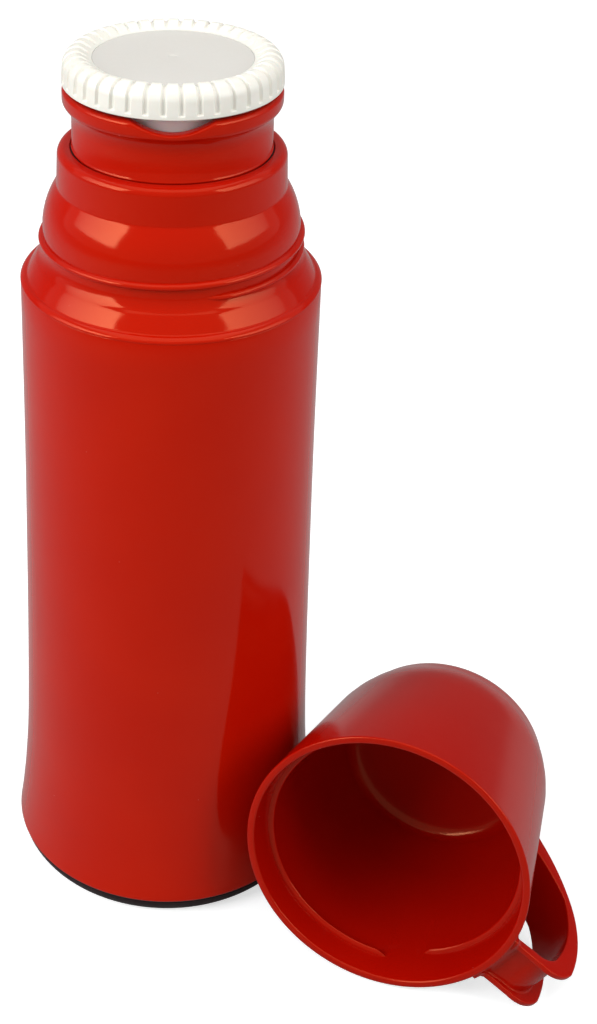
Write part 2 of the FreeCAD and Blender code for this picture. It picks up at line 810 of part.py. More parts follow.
def check(objects):
    """Stops if any object failed or any sub-part's shape is empty or faulty."""
    for item in doc.Objects:
        if "Invalid" in item.State or "Error" in item.State:
            raise RuntimeError(f"{item.Label} is {item.State}")
    for item in objects:
        if item.Shape.isNull() or not item.Shape.isValid():
            raise RuntimeError(f"{item.Label} has no valid shape")


parts = [
    make_shell(),
    make_shoulder(),
    make_collar(),
    ring("collar_seal", "neck_radius", "dome_hole_radius", "collar_seal_bottom", "collar_seal_top"),
    ring("seam_seal", "spigot_radius", "shell_top_radius - seam_seal_inset", "shell_top",
         "shell_top + seam_gap"),
    ring("neck_seal", "neck_seal_inner", "neck_seal_outer", "lip_height", "collar_bottom"),
    ring("centring_ring", "outer_neck_radius", "centring_outer", "centring_bottom", "centring_top"),
    make_inner_glass(),
    make_outer_glass(),
    make_spacer_pads(),
    make_cushion(),
    make_base_plate(),
    ring("base_gasket", "base_spigot_radius", "shell_foot_radius - base_gasket_inset", "base_edge_height",
         "shell_bottom"),
    ring("foot_ring", "foot_groove_inner + foot_fit", "foot_groove_outer - foot_fit", 0,
         "base_bottom + foot_groove_depth"),
    make_knob(),
    make_disc(),
    make_plug(),
    make_gasket(),
    make_foam_core(),
    make_end_cap(),
    make_cup(),
]
doc.recompute()
check(parts)

os.makedirs("parts", exist_ok=True)
for part in parts:
    part.Shape.exportStep(os.path.join("parts", f"{part.Label}.step"))
    box = part.Shape.BoundBox
    print(f"{part.Label}: volume {part.Shape.Volume:.0f}, solids {len(part.Shape.Solids)}, "
          f"z {box.ZMin:.2f} to {box.ZMax:.2f}, x {box.XMin:.1f} to {box.XMax:.1f}, "
          f"y {box.YMin:.1f} to {box.YMax:.1f}")
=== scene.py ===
"""Looks of the vacuum flask: detailed pieces, materials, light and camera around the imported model."""
import json
import math

import bmesh
import bpy
from mathutils import Matrix, Vector


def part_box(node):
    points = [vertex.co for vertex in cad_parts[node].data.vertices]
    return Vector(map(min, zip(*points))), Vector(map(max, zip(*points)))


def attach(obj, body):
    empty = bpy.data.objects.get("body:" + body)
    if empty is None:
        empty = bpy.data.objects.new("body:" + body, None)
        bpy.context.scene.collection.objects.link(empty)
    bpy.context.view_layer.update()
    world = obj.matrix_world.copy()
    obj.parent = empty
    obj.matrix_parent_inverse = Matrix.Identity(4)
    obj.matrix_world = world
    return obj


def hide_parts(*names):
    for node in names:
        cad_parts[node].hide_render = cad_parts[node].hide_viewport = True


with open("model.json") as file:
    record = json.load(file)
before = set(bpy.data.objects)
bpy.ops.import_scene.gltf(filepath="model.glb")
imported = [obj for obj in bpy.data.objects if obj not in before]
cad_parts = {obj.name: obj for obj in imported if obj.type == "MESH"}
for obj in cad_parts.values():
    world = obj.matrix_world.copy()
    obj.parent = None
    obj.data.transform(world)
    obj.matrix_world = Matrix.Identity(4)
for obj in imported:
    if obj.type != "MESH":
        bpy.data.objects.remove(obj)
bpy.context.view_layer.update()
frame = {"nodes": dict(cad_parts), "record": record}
MM = 0.001

# Heights and radii in millimetres, read from the CAD pieces.
SHELL_LOW, SHELL_HIGH = [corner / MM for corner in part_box("outer_shell")]
SHOULDER_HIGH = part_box("shoulder")[1] / MM
COLLAR_LOW, COLLAR_HIGH = [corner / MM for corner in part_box("pour_collar")]
KNOB_LOW, KNOB_HIGH = [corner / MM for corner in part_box("knob")]
DISC_LOW, DISC_HIGH = [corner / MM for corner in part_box("knob_disc")]
PLUG_LOW, PLUG_HIGH = [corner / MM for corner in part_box("stopper_plug")]
SEAL_LOW, SEAL_HIGH = [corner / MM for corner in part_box("collar_seal")]

CORNER_STEPS = 6
ARC_STEP = math.radians(6)
RIDGE_STEPS_A_TURN = 160
RIDGE_SIDES = 10
CUP_PITCH = 4.75
STOPPER_PITCH = 4.0


# ---------------------------------------------------------------- outlines and meshes

def rotated(arm, angle):
    """A flat vector turned to the left by an angle."""
    return Vector((arm.x * math.cos(angle) - arm.y * math.sin(angle),
                   arm.x * math.sin(angle) + arm.y * math.cos(angle)))


def arc_points(start, end, radius):
    """Points along the short arc to end, which turns left for a positive radius and right otherwise."""
    start, end = Vector(start), Vector(end)
    chord = end - start
    side = Vector((-chord.y, chord.x)).normalized()
    rise = math.sqrt(max(radius * radius - chord.length_squared / 4, 0.0))
    centre = (start + end) / 2 + side * math.copysign(rise, radius)
    sweep = 2 * math.asin(min(1.0, chord.length / (2 * abs(radius)))) * math.copysign(1, radius)
    steps = max(2, math.ceil(abs(sweep) / ARC_STEP))
    arm = start - centre
    return [centre + rotated(arm, sweep * step / steps) for step in range(1, steps + 1)]


def curve_points(knots, steps):
    """Points on a smooth curve through (x, y) knots, with steps spans between each two."""
    slopes = []
    for index in range(len(knots)):
        before = knots[max(index - 1, 0)]
        after = knots[min(index + 1, len(knots) - 1)]
        slopes.append((after[1] - before[1]) / (after[0] - before[0]))
    points = [Vector(knots[0])]
    for index in range(len(knots) - 1):
        (x0, y0), (x1, y1) = knots[index], knots[index + 1]
        span = x1 - x0
        for step in range(1, steps + 1):
            t = step / steps
            y = (y0 * (2 * t ** 3 - 3 * t ** 2 + 1) + y1 * (3 * t ** 2 - 2 * t ** 3)
                 + slopes[index] * span * (t ** 3 - 2 * t ** 2 + t)
                 + slopes[index + 1] * span * (t ** 3 - t ** 2))
            points.append(Vector((x0 + span * t, y)))
    return points


def trimmed(points, length):
    """The polyline without its first stretch of that length."""
    points = list(points)
    while len(points) > 2 and (points[1] - points[0]).length <= length:
        length -= (points[1] - points[0]).length
        points.pop(0)
    step = points[1] - points[0]
    points[0] = points[0] + step.normalized() * min(length, step.length * 0.49)
    return points


def outline(corners):
    """A closed outline of (x, y, arc, rounding) corners.

    The last two may be left out. arc is the radius of the arc that leads to the corner, or None
    for a straight line. rounding is the length that is cut from both sides of the corner.
    """
    runs = []
    for index, corner in enumerate(corners):
        start, end = Vector(corners[index - 1][:2]), Vector(corner[:2])
        radius = corner[2] if len(corner) > 2 else None
        runs.append([start] + (arc_points(start, end, radius) if radius else [end]))
    roundings = [corner[3] if len(corner) > 3 else 0 for corner in corners]
    for index, run in enumerate(runs):
        if roundings[index - 1]:
            run = trimmed(run, roundings[index - 1])
        if roundings[index]:
            run = trimmed(run[::-1], roundings[index])[::-1]
        runs[index] = run
    points = []
    for index, run in enumerate(runs):
        points += run if roundings[index - 1] else run[1:]
        if roundings[index]:
            start, end = run[-1], runs[(index + 1) % len(runs)][0]
            tip = Vector(corners[index][:2])
            for step in range(1, CORNER_STEPS):
                t = step / CORNER_STEPS
                points.append(start * (1 - t) ** 2 + tip * 2 * t * (1 - t) + end * t ** 2)
    return points


def make_object(name, points, faces, sharp=35):
    """A smooth-shaded object from points in millimetres. Edges over sharp degrees stay crisp."""
    mesh = bpy.data.meshes.new(name)
    mesh.from_pydata([Vector(point) * MM for point in points], [], faces)
    work = bmesh.new()
    work.from_mesh(mesh)
    bmesh.ops.recalc_face_normals(work, faces=work.faces)
    work.to_mesh(mesh)
    work.free()
    mesh.shade_smooth()
    mesh.set_sharp_from_angle(angle=math.radians(sharp))
    piece = bpy.data.objects.new(name, mesh)
    bpy.context.scene.collection.objects.link(piece)
    return piece


def lathe(name, section, segments=256, warp=None, sharp=35):
    """A closed body of revolution about Z. warp(radius, height, angle) may shift each point."""
    points, rings, faces = [], [], []
    for radius, height in section:
        if radius < 1e-6:
            rings.append([len(points)] * segments)
            points.append((0, 0, height))
            continue
        rings.append(range(len(points), len(points) + segments))
        for number in range(segments):
            angle = 2 * math.pi * number / segments
            r, z = warp(radius, height, angle) if warp else (radius, height)
            points.append((r * math.cos(angle), r * math.sin(angle), z))
    for index, ring in enumerate(rings):
        below = rings[index - 1]
        for number in range(segments):
            after = (number + 1) % segments
            face = []
            for corner in (below[number], below[after], ring[after], ring[number]):
                if corner not in face:
                    face.append(corner)
            if len(face) > 2:
                faces.append(face)
    return make_object(name, points, faces, sharp)


def swept(name, sections):
    """A closed skin through sections of equally many points, capped at both ends."""
    points = [point for section in sections for point in section]
    count = len(sections[0])
    faces = [list(range(count)), list(range(len(points) - count, len(points)))]
    for row in range(len(sections) - 1):
        for number in range(count):
            after = (number + 1) % count
            first, second = row * count, (row + 1) * count
            faces.append([first + number, first + after, second + after, second + number])
    return make_object(name, points, faces)


def smooth(t):
    """0 below 0, 1 above 1 and an even turn between."""
    t = min(max(t, 0.0), 1.0)
    return t * t * (3 - 2 * t)


def screw_ridge(name, root, crest, start, foot, pitch, turns, begin, taper=0.06):
    """A right-handed screw ridge with a rounded crest that fades out at both ends.

    root and crest are radii. The ridge starts at the height start and the angle begin, and is foot
    wide at its root. taper is the share of its length over which each end fades.
    """
    sections = []
    steps = math.ceil(turns * RIDGE_STEPS_A_TURN)
    for step in range(steps + 1):
        t = step / steps
        grown = smooth(min(t, 1 - t) / taper) * 0.97 + 0.03
        angle = begin + 2 * math.pi * turns * t
        middle = start + foot / 2 + pitch * turns * t
        section = []
        for number in range(RIDGE_SIDES + 1):
            bend = math.pi * number / RIDGE_SIDES
            radius = root + (crest - root) * grown * math.sin(bend) ** 0.8
            height = middle - foot / 2 * math.cos(bend) * (0.35 + 0.65 * grown)
            section.append((radius * math.cos(angle), radius * math.sin(angle), height))
        sections.append(section)
    return swept(name, sections)


def united(piece, *others):
    """Fuses the other pieces into the first, as moulded in one."""
    for other in others:
        fuse = piece.modifiers.new("fuse", "BOOLEAN")
        fuse.operation = "UNION"
        fuse.solver = "EXACT"
        fuse.object = other
    bpy.context.view_layer.update()
    depsgraph = bpy.context.evaluated_depsgraph_get()
    mesh = bpy.data.meshes.new_from_object(piece.evaluated_get(depsgraph))
    piece.modifiers.clear()
    piece.data = mesh
    mesh.shade_smooth()
    mesh.set_sharp_from_angle(angle=math.radians(35))
    for other in others:
        bpy.data.objects.remove(other)
    return piece


def place(piece, node, body, slot):
    """Puts a piece in the place of a CAD node, on its body and in its material slot."""
    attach(piece, body)
    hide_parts(node)
    piece.data.materials.clear()
    piece.data.materials.append(MATERIALS[slot])
    return piece


# ---------------------------------------------------------------- materials

def node(tree, kind, **settings):
    """A shader node with its properties and input values set."""
    made = tree.nodes.new(kind)
    for key, value in settings.items():
        if key in made.inputs:
            made.inputs[key].default_value = value
        else:
            setattr(made, key, value)
    return made


def noise(tree, source, scale, detail, stretch=(1, 1, 1)):
    """Noise over the object's own coordinates in metres. Stretch squeezes it along the axes."""
    mapping = node(tree, "ShaderNodeMapping", Scale=stretch)
    tree.links.new(source, mapping.inputs["Vector"])
    made = node(tree, "ShaderNodeTexNoise", Scale=scale, Detail=detail)
    tree.links.new(mapping.outputs["Vector"], made.inputs["Vector"])
    return made.outputs["Fac"]


def ranged(tree, value, low, high, new_low, new_high):
    """A value mapped from one range to another and held inside it."""
    made = node(tree, "ShaderNodeMapRange")
    made.inputs["From Min"].default_value = low
    made.inputs["From Max"].default_value = high
    made.inputs["To Min"].default_value = new_low
    made.inputs["To Max"].default_value = new_high
    tree.links.new(value, made.inputs["Value"])
    return made.outputs["Result"]


def maths(tree, operation, first, second):
    """One operation on two values, either of which may be a plain number."""
    made = node(tree, "ShaderNodeMath", operation=operation)
    for socket, value in zip(made.inputs, (first, second)):
        if isinstance(value, (int, float)):
            socket.default_value = value
        else:
            tree.links.new(value, socket)
    return made.outputs["Value"]


def blended(tree, amount, first, second):
    """A colour mixed from two colours or colour outputs."""
    made = node(tree, "ShaderNodeMix", data_type="RGBA")
    tree.links.new(amount, made.inputs["Factor"])
    for name, value in (("A", first), ("B", second)):
        socket = [found for found in made.inputs if (found.name, found.type) == (name, "RGBA")][0]
        if isinstance(value, tuple):
            socket.default_value = (*value, 1)
        else:
            tree.links.new(value, socket)
    return [found for found in made.outputs if found.type == "RGBA"][0]


def bumped(tree, height, distance, strength=1.0, under=None):
    """A bump of a real depth in metres, over another bump if one is given."""
    made = node(tree, "ShaderNodeBump", Strength=strength, Distance=distance)
    tree.links.new(height, made.inputs["Height"])
    if under:
        tree.links.new(under, made.inputs["Normal"])
    return made.outputs["Normal"]


def new_material(name):
    """A node material with a plain Principled shader: the material, its tree, shader and coordinates."""
    material = bpy.data.materials.new(name)
    material.use_nodes = True
    tree = material.node_tree
    tree.nodes.clear()
    shader = node(tree, "ShaderNodeBsdfPrincipled")
    output = node(tree, "ShaderNodeOutputMaterial")
    tree.links.new(shader.outputs["BSDF"], output.inputs["Surface"])
    coordinates = node(tree, "ShaderNodeTexCoord").outputs["Object"]
    return material, tree, shader, coordinates


def moulded(name, colour, shade, gloss, *, level, grain, wear, tint=(1, 1, 1), through=0.0):
    """Moulded plastic: colour clouds, flow marks, fine scratches, a few specks and orange peel.

    shade is the colour of the other clouds and gloss is (smoothest, roughest). level and tint set
    the reflections, grain is the depth of the skin's texture in metres, wear is how much the
    scratches show, and through is the share of light that enters the plastic.
    """
    material, tree, shader, where = new_material(name)
    clouds = ranged(tree, noise(tree, where, 24, 2), 0.35, 0.65, 0, 1)
    base = blended(tree, clouds, colour, shade)
    streaks = noise(tree, where, 60, 4, (9, 9, 0.6))
    scratches = noise(tree, where, 420, 2, (1, 0.06, 1.7))
    crossed = noise(tree, where, 380, 2, (0.07, 1, 0.9))
    scored = ranged(tree, maths(tree, "MAXIMUM", scratches, crossed), 0.66, 0.74, 0, 1)
    cells = node(tree, "ShaderNodeTexVoronoi", Scale=70)
    tree.links.new(where, cells.inputs["Vector"])
    speck = ranged(tree, cells.outputs["Distance"], 0.012, 0.024, 1, 0)
    pale = tuple(min(1, part * 0.6 + 0.16) for part in colour)
    marked = maths(tree, "ADD", maths(tree, "MULTIPLY", speck, 0.25),
                   maths(tree, "MULTIPLY", scored, wear))
    tree.links.new(blended(tree, marked, base, pale), shader.inputs["Base Color"])
    rough = ranged(tree, streaks, 0.3, 0.7, gloss[0], gloss[1])
    rough = maths(tree, "ADD", rough, maths(tree, "MULTIPLY", scored, 0.04 + wear))
    rough = maths(tree, "ADD", rough, maths(tree, "MULTIPLY", speck, 0.2))
    tree.links.new(rough, shader.inputs["Roughness"])
    peel = bumped(tree, noise(tree, where, 170, 2), 0.00002, 0.35)
    tree.links.new(bumped(tree, noise(tree, where, 1900, 2), grain, 1.0, peel), shader.inputs["Normal"])
    shader.inputs["Specular IOR Level"].default_value = level
    shader.inputs["Specular Tint"].default_value = (*tint, 1)
    shader.inputs["Subsurface Weight"].default_value = through
    shader.inputs["Subsurface Radius"].default_value = (0.004, 0.0015, 0.001)
    shader.inputs["Subsurface Scale"].default_value = 1.0
    return material


def rubber(name, colour, rough, depth):
    """Soft rubber or silicone with a dull, finely pitted skin."""
    material, tree, shader, where = new_material(name)
    clouds = ranged(tree, noise(tree, where, 90, 3), 0.3, 0.7, 0, 1)
    lighter = tuple(min(1, part * 1.25 + 0.006) for part in colour)
    tree.links.new(blended(tree, clouds, colour, lighter), shader.inputs["Base Color"])
    tree.links.new(ranged(tree, clouds, 0, 1, rough - 0.06, rough + 0.06), shader.inputs["Roughness"])
    tree.links.new(bumped(tree, noise(tree, where, 2600, 3), depth), shader.inputs["Normal"])
    shader.inputs["Specular IOR Level"].default_value = 0.4
    return material


def foam(name, colour, scale, depth):
    """Foam or felt: a matt surface of fine cells, with painted shade in their hollows."""
    material, tree, shader, where = new_material(name)
    cells = node(tree, "ShaderNodeTexVoronoi", Scale=scale)
    tree.links.new(where, cells.inputs["Vector"])
    hollow = ranged(tree, cells.outputs["Distance"], 0.0, 0.7, 1, 0)
    # Painted shade: the hollows of the cells are coloured darker, where the bump sinks them.
    painted_shade = tuple(part * 0.72 for part in colour)
    tree.links.new(blended(tree, hollow, colour, painted_shade), shader.inputs["Base Color"])
    tree.links.new(ranged(tree, hollow, 0, 1, 0.82, 0.95), shader.inputs["Roughness"])
    tree.links.new(bumped(tree, cells.outputs["Distance"], depth), shader.inputs["Normal"])
    return material


def silvered(name):
    """Mirror-silvered glass with faint waves and dull patches in the silver."""
    material, tree, shader, where = new_material(name)
    patches = ranged(tree, noise(tree, where, 35, 4), 0.45, 0.7, 0, 1)
    silver, dull = (0.86, 0.87, 0.88), (0.66, 0.66, 0.64)
    tree.links.new(blended(tree, patches, silver, dull), shader.inputs["Base Color"])
    tree.links.new(ranged(tree, patches, 0, 1, 0.04, 0.16), shader.inputs["Roughness"])
    tree.links.new(bumped(tree, noise(tree, where, 45, 2), 0.0004, 0.5), shader.inputs["Normal"])
    shader.inputs["Metallic"].default_value = 1.0
    shader.inputs["Coat Weight"].default_value = 1.0
    shader.inputs["Coat Roughness"].default_value = 0.02
    return material


RED = (0.44, 0.006, 0.0003)
DEEP_RED = (0.42, 0.0045, 0.0002)
CUP_RED = (0.345, 0.003, 0.0003)
DEEP_CUP_RED = (0.325, 0.0022, 0.0002)
RED_TINT = (1.0, 0.42, 0.20)
MATERIALS = {
    "red_body": moulded("red_body", RED, DEEP_RED, (0.085, 0.12), level=0.42, tint=RED_TINT,
                        grain=0.000003, wear=0.006, through=0.03),
    "red_cup": moulded("red_cup", CUP_RED, DEEP_CUP_RED, (0.13, 0.18), level=0.42, tint=RED_TINT,
                       grain=0.000004, wear=0.006, through=0.05),
    "white_knob": moulded("white_knob", (0.77, 0.755, 0.685), (0.75, 0.73, 0.66), (0.30, 0.38),
                          level=0.45, grain=0.000006, wear=0.02, through=0.08),
    "grey_disc": moulded("grey_disc", (0.61, 0.59, 0.55), (0.595, 0.575, 0.535), (0.40, 0.48),
                         level=0.4, grain=0.000012, wear=0.02, through=0.03),
    "milky_plug": moulded("milky_plug", (0.90, 0.74, 0.72), (0.88, 0.71, 0.69), (0.28, 0.36),
                          level=0.45, grain=0.000005, wear=0.01, through=0.35),
    "black_base": moulded("black_base", (0.012, 0.003, 0.004), (0.015, 0.005, 0.006), (0.38, 0.5),
                          level=0.15, grain=0.00003, wear=0.06),
    "black_rubber": rubber("black_rubber", (0.014, 0.014, 0.014), 0.68, 0.00003),
    "silicone": rubber("silicone", (0.74, 0.73, 0.69), 0.5, 0.00001),
    "white_foam": foam("white_foam", (0.84, 0.84, 0.81), 900, 0.0002),
    "pad_felt": foam("pad_felt", (0.66, 0.62, 0.53), 1600, 0.0003),
    "silvered_glass": silvered("silvered_glass"),
}

SLOT_OF = {part["node"]: part["material_slot"] for part in frame["record"]["subparts"]}
for name, cad_node in frame["nodes"].items():
    cad_node.data.materials.clear()
    cad_node.data.materials.append(MATERIALS[SLOT_OF[name]])


# ---------------------------------------------------------------- flask

SHELL_WALL = 2.1
SEAM = SHELL_HIGH.z
SEAM_GAP = 0.14
FOOT = SHELL_LOW.z


def make_shell():
    """Outer shell: near-straight above, with a slight waist and a foot that flares out."""
    foot_radius = SHELL_HIGH.x
    side = curve_points([(FOOT + 1, foot_radius - 0.1), (FOOT + 8, foot_radius - 1.15),
                         (FOOT + 23, foot_radius - 2.85), (FOOT + 43, foot_radius - 4.4),
                         (FOOT + 77, foot_radius - 5.65), (FOOT + 122, foot_radius - 6.8),
                         (FOOT + 172, foot_radius - 7.85), (SEAM, foot_radius - 8.6)], 6)
    outer = [Vector((radius, height)) for height, radius in side]
    outer += arc_points(outer[-1], outer[-1] + Vector((-0.25, 0.2)), 0.3)
    inner = [Vector((radius - SHELL_WALL, height)) for height, radius in side[::-1]]
    foot = [Vector((foot_radius - SHELL_WALL - 0.5, FOOT)), Vector((foot_radius - 0.8, FOOT))]
    foot += arc_points(foot[-1], outer[0], 1.0)[:-1]
    top = [Vector((inner[0].x, outer[-1].y))]
    return lathe("body_shell", foot + outer + top + inner, 288)


def make_shoulder():
    """Shoulder ring, screw wall and domed top, moulded in one, with the ridge for the cup."""
    top = SHOULDER_HIGH.z
    radius = SHOULDER_HIGH.x
    wall = 41.25
    inner_wall = wall - 2.3
    section = outline([
        (radius - 3.9, SEAM - 10),
        (radius - 2.6, SEAM - 10),
        (radius - 2.6, SEAM + SEAM_GAP),
        (radius, SEAM + SEAM_GAP, None, 0.25),
        (radius - 0.02, SEAM + 0.7),
        (radius - 2.2, SEAM + 2.1, 2.8, 0.5),
        (radius - 5.4, SEAM + 7.2, 30.0, 0.5),
        (wall, SEAM + 11.8, -8.6),
        (wall, SEAM + 20.2),
        (36.5, top - 12.0, 26.0, 0.4),
        (36.1, top - 2.6),
        (33.6, top, 2.6),
        (32.0, top, None, 0.35),
        (31.6, top - 2.2),
        (33.9, top - 4.2),
        (33.9, top - 12),
        (inner_wall, top - 25.6),
        (inner_wall, top - 33.5),
        (radius - 3.9, SEAM + 1.8),
    ])
    shoulder = lathe("shoulder_dome", section, 288)
    ridge = screw_ridge("shoulder_ridge", root=wall - 0.6, crest=wall + 1.5, start=SEAM + 9.9, foot=2.4,
                        pitch=CUP_PITCH, turns=1.45, begin=math.radians(-81.5), taper=0.035)
    return united(shoulder, ridge)


def notch_warp(radius, height, angle):
    """Lowers the rim smoothly across the pouring notch at the front."""
    half_width = 12.4
    depth = 3.4
    pivot = COLLAR_HIGH.z - 4.9
    across = radius * math.cos(angle)
    if math.sin(angle) > 0 or height < pivot or abs(across) > half_width:
        return radius, height
    drop = depth * (1 - (across / half_width) ** 2) ** 1.15
    return radius, height - drop * (height - pivot) / (COLLAR_HIGH.z - pivot)


def make_collar():
    """Pouring collar with a rolled rim, a shallow notch and the stopper's thread in its bore."""
    top, radius = COLLAR_HIGH.z, COLLAR_HIGH.x
    neck = radius - 2.75
    throat = 24.4
    bore = 29.6
    section = outline([
        (throat, COLLAR_LOW.z, None, 0.4),
        (neck, COLLAR_LOW.z, None, 0.4),
        (neck, top - 19.5),
        (neck + 0.35, top - 19.0, None, 0.3),
        (neck, top - 18.4),
        (neck, top - 11.6),
        (radius - 1.3, top - 5.6, -9.0),
        (radius - 0.3, top - 4.7, 1.6),
        (radius, top - 3.8, 2.4),
        (radius, top - 1.4),
        (radius - 1.4, top, 1.4),
        (30.6, top, None, 0.5),
        (bore, top - 1.2, None, 0.4),
        (bore, top - 15.8, None, 0.5),
        (throat, top - 22.0, None, 0.5),
    ])
    collar = lathe("pouring_collar", section, 384, notch_warp)
    ridge = screw_ridge("bore_ridge", root=29.9, crest=28.4, start=top - 12.6, foot=1.5,
                        pitch=STOPPER_PITCH, turns=1.4, begin=0.0)
    return united(collar, ridge)


def make_seal():
    """Dark soft ring squeezed into the gap between collar and dome."""
    outer = SEAL_HIGH.x
    inner = outer - 0.45
    section = outline([
        (inner, SEAL_LOW.z),
        (outer, SEAL_LOW.z),
        (outer, SEAL_HIGH.z, None, 0.15),
        (inner, SEAL_HIGH.z, None, 0.15),
    ])
    return lathe("groove_seal", section, 192)


# ---------------------------------------------------------------- stopper

RIBS = 40
RIB_SAMPLES = 16
GROOVE_DEPTH = 0.8
GROOVE_HALF_WIDTH = 0.19  # with its side, as a share of the spacing of the ribs
GROOVE_SIDE = 0.11
KNOB_BAND = 1.5
KNOB_CORNER = 4.6


def rib_warp(radius, height, angle):
    """Sinks the grooves between the knob's ribs into its side, corner and top."""
    side_top, crown = KNOB_HIGH.z - KNOB_CORNER, KNOB_HIGH.x - KNOB_CORNER
    if radius < DISC_HIGH.x + 0.3 or height < KNOB_LOW.z + KNOB_BAND - 0.4:
        return radius, height
    if radius < crown and height < side_top:
        return radius, height
    phase = (angle * RIBS / (2 * math.pi)) % 1.0
    groove = smooth((GROOVE_HALF_WIDTH - abs(phase - 0.5)) / GROOVE_SIDE)
    started = smooth((height - KNOB_LOW.z - KNOB_BAND + 0.35) / 0.5)
    ended = smooth((radius - DISC_HIGH.x - 0.7) / 2.6)
    away = Vector((max(radius - crown, 0), max(height - side_top, 0)))
    depth = GROOVE_DEPTH * groove * started * ended
    away = away.normalized() * depth if away.length > 1e-6 else Vector((0, depth))
    return radius - away.x, height - away.y


def make_knob():
    """Knob with ribs from a plain lower band up the side, over the corner and in to the disc."""
    radius, low, high = KNOB_HIGH.x, KNOB_LOW.z, KNOB_HIGH.z
    rows = 7
    side = [(radius - 0.28, low), (radius, low + 0.28), (radius, low + KNOB_BAND - 0.35)]
    side += [(radius, low + KNOB_BAND - 0.35 + step * 0.12) for step in range(1, 5)]
    ribs_low = low + KNOB_BAND + 0.15
    ribs_rise = high - KNOB_CORNER - low - KNOB_BAND - 0.15
    side += [(radius - 0.25 * step / rows, ribs_low + ribs_rise * step / rows)
             for step in range(1, rows + 1)]
    corner = [(point.x, point.y) for point in
              arc_points(side[-1], (radius - KNOB_CORNER, high - 0.05), KNOB_CORNER + 0.1)]
    edge = DISC_HIGH.x + 0.05
    crown_radius, crown_height = corner[-1]
    fall = crown_height - DISC_HIGH.z - 0.02
    rings = 12
    top = [(crown_radius + (edge - crown_radius) * step / rings,
            crown_height - fall * smooth(step / rings) ** 1.2) for step in range(1, rings + 1)]
    hollow = radius - 2.4
    ceiling = DISC_LOW.z - 2.0
    dish = [(edge, DISC_LOW.z), (0, DISC_LOW.z), (0, ceiling), (hollow, ceiling), (hollow, low)]
    return lathe("ribbed_knob", side + corner + top + dish, RIBS * RIB_SAMPLES, rib_warp)


def make_disc():
    """Inset disc: flat, with a softened edge and a small mould mark at its centre."""
    radius, low, high = DISC_HIGH.x, DISC_LOW.z, DISC_HIGH.z
    section = outline([
        (0, low),
        (radius, low),
        (radius, high, None, 0.18),
        (radius * 0.66, high),
        (radius * 0.33, high),
        (1.5, high, None, 0.05),
        (1.4, high - 0.08, None, 0.03),
        (0, high - 0.08),
    ])
    return lathe("inset_disc", section, 192)


def make_plug():
    """Hollow plug: flange in the knob, threaded skirt, cone and stem."""
    low, high = PLUG_LOW.z, PLUG_HIGH.z
    skirt = 27.9
    cone = 23.2
    stem = 19.6
    flange = 30.5
    wall = 1.8
    section = outline([
        (stem - wall, low),
        (stem, low),
        (stem, low + 9.5),
        (cone, low + 9.5, None, 0.4),
        (cone, low + 11.8, None, 0.5),
        (skirt, low + 17.8, None, 0.8),
        (skirt, high - 2.4, None, 0.3),
        (flange, high - 2.4, None, 0.3),
        (flange, high, None, 0.3),
        (skirt - wall, high),
        (skirt - wall, low + 19.6),
        (stem - wall, low + 11.3),
    ])
    plug = lathe("threaded_plug", section, 256)
    ridge = screw_ridge("plug_ridge", root=skirt - 0.4, crest=skirt + 1.0, start=low + 18.9, foot=1.5,
                        pitch=STOPPER_PITCH, turns=1.25, begin=0.0)
    return united(plug, ridge)


# ---------------------------------------------------------------- cup

CUP_RADIUS = 50.8
CUP_DRAFT = 0.125
CONE_LENGTH = 57
CUP_MOUTH = (75.6, -80.6, 51.25)
CUP_TURN = math.radians(22.8)
CUP_TILT = math.radians(8.0)
HANDLE_TURN = math.radians(31.5)
HANDLE_HALF = 10.2
FLANGE = 2.1
WEB = 2.2


def cup_placement():
    """From the cup's own frame, with its mouth at the origin and its handle at +X, to where it lies."""
    reach = math.cos(CUP_TILT)
    axis = Vector((math.sin(CUP_TURN) * reach, math.cos(CUP_TURN) * reach, -math.sin(CUP_TILT)))
    level = Vector((math.cos(CUP_TURN), -math.sin(CUP_TURN), 0))
    outward = Matrix.Rotation(HANDLE_TURN, 3, axis) @ level
    turn = Matrix((outward, axis.cross(outward), axis)).transposed().to_4x4()
    return Matrix.Translation(Vector(CUP_MOUTH) * MM) @ turn


def bowl_section():
    """Wall of the cup as radius and distance from its mouth."""
    cone_end = CUP_RADIUS - CUP_DRAFT * CONE_LENGTH
    return outline([
        (48.0, 0, None, 0.9),
        (CUP_RADIUS - 0.1, 0, None, 0.9),
        (cone_end, CONE_LENGTH),
        (38.8, 76.5, 62),
        (32.2, 86, 14, 0.6),
        (29.8, 86, None, 0.9),
        (32.4, 79.8, None, 0.8),
        (31.2, 79.2, None, 0.5),
        (0, 79.2),
        (0, 76.4),
        (31.4, 76.4, None, 0.5),
        (36.8, 71.8, -5.6, 0.5),
        (cone_end - 2.8, CONE_LENGTH, -55),
        (46.3, 9),
    ])


def handle_runs():
    """Matched points along the strap, rim to dome: finger side, outer side, share of channel depth."""
    finger = [(47.6, 6.35), (58.0, 7.2), (66.9, 12.8), (61.7, 43.6), (42.2, 56.7)]
    outer = [(47.6, 2.95), (63.3, 3.9), (73.9, 11.0), (63.6, 45.6), (41.2, 64.9)]
    finger_bends = [None, 8.0, 39.0, 70.0]
    outer_bends = [None, 10.0, 49.0, 70.0]
    counts = [12, 16, 22, 16]
    stations = []
    for leg in range(4):
        for step in range(counts[leg] + (leg == 3)):
            t = step / counts[leg]
            pair = [along(points[leg], points[leg + 1], bends[leg], t)
                    for points, bends in ((finger, finger_bends), (outer, outer_bends))]
            stations.append((*pair, leg + t))
    return stations


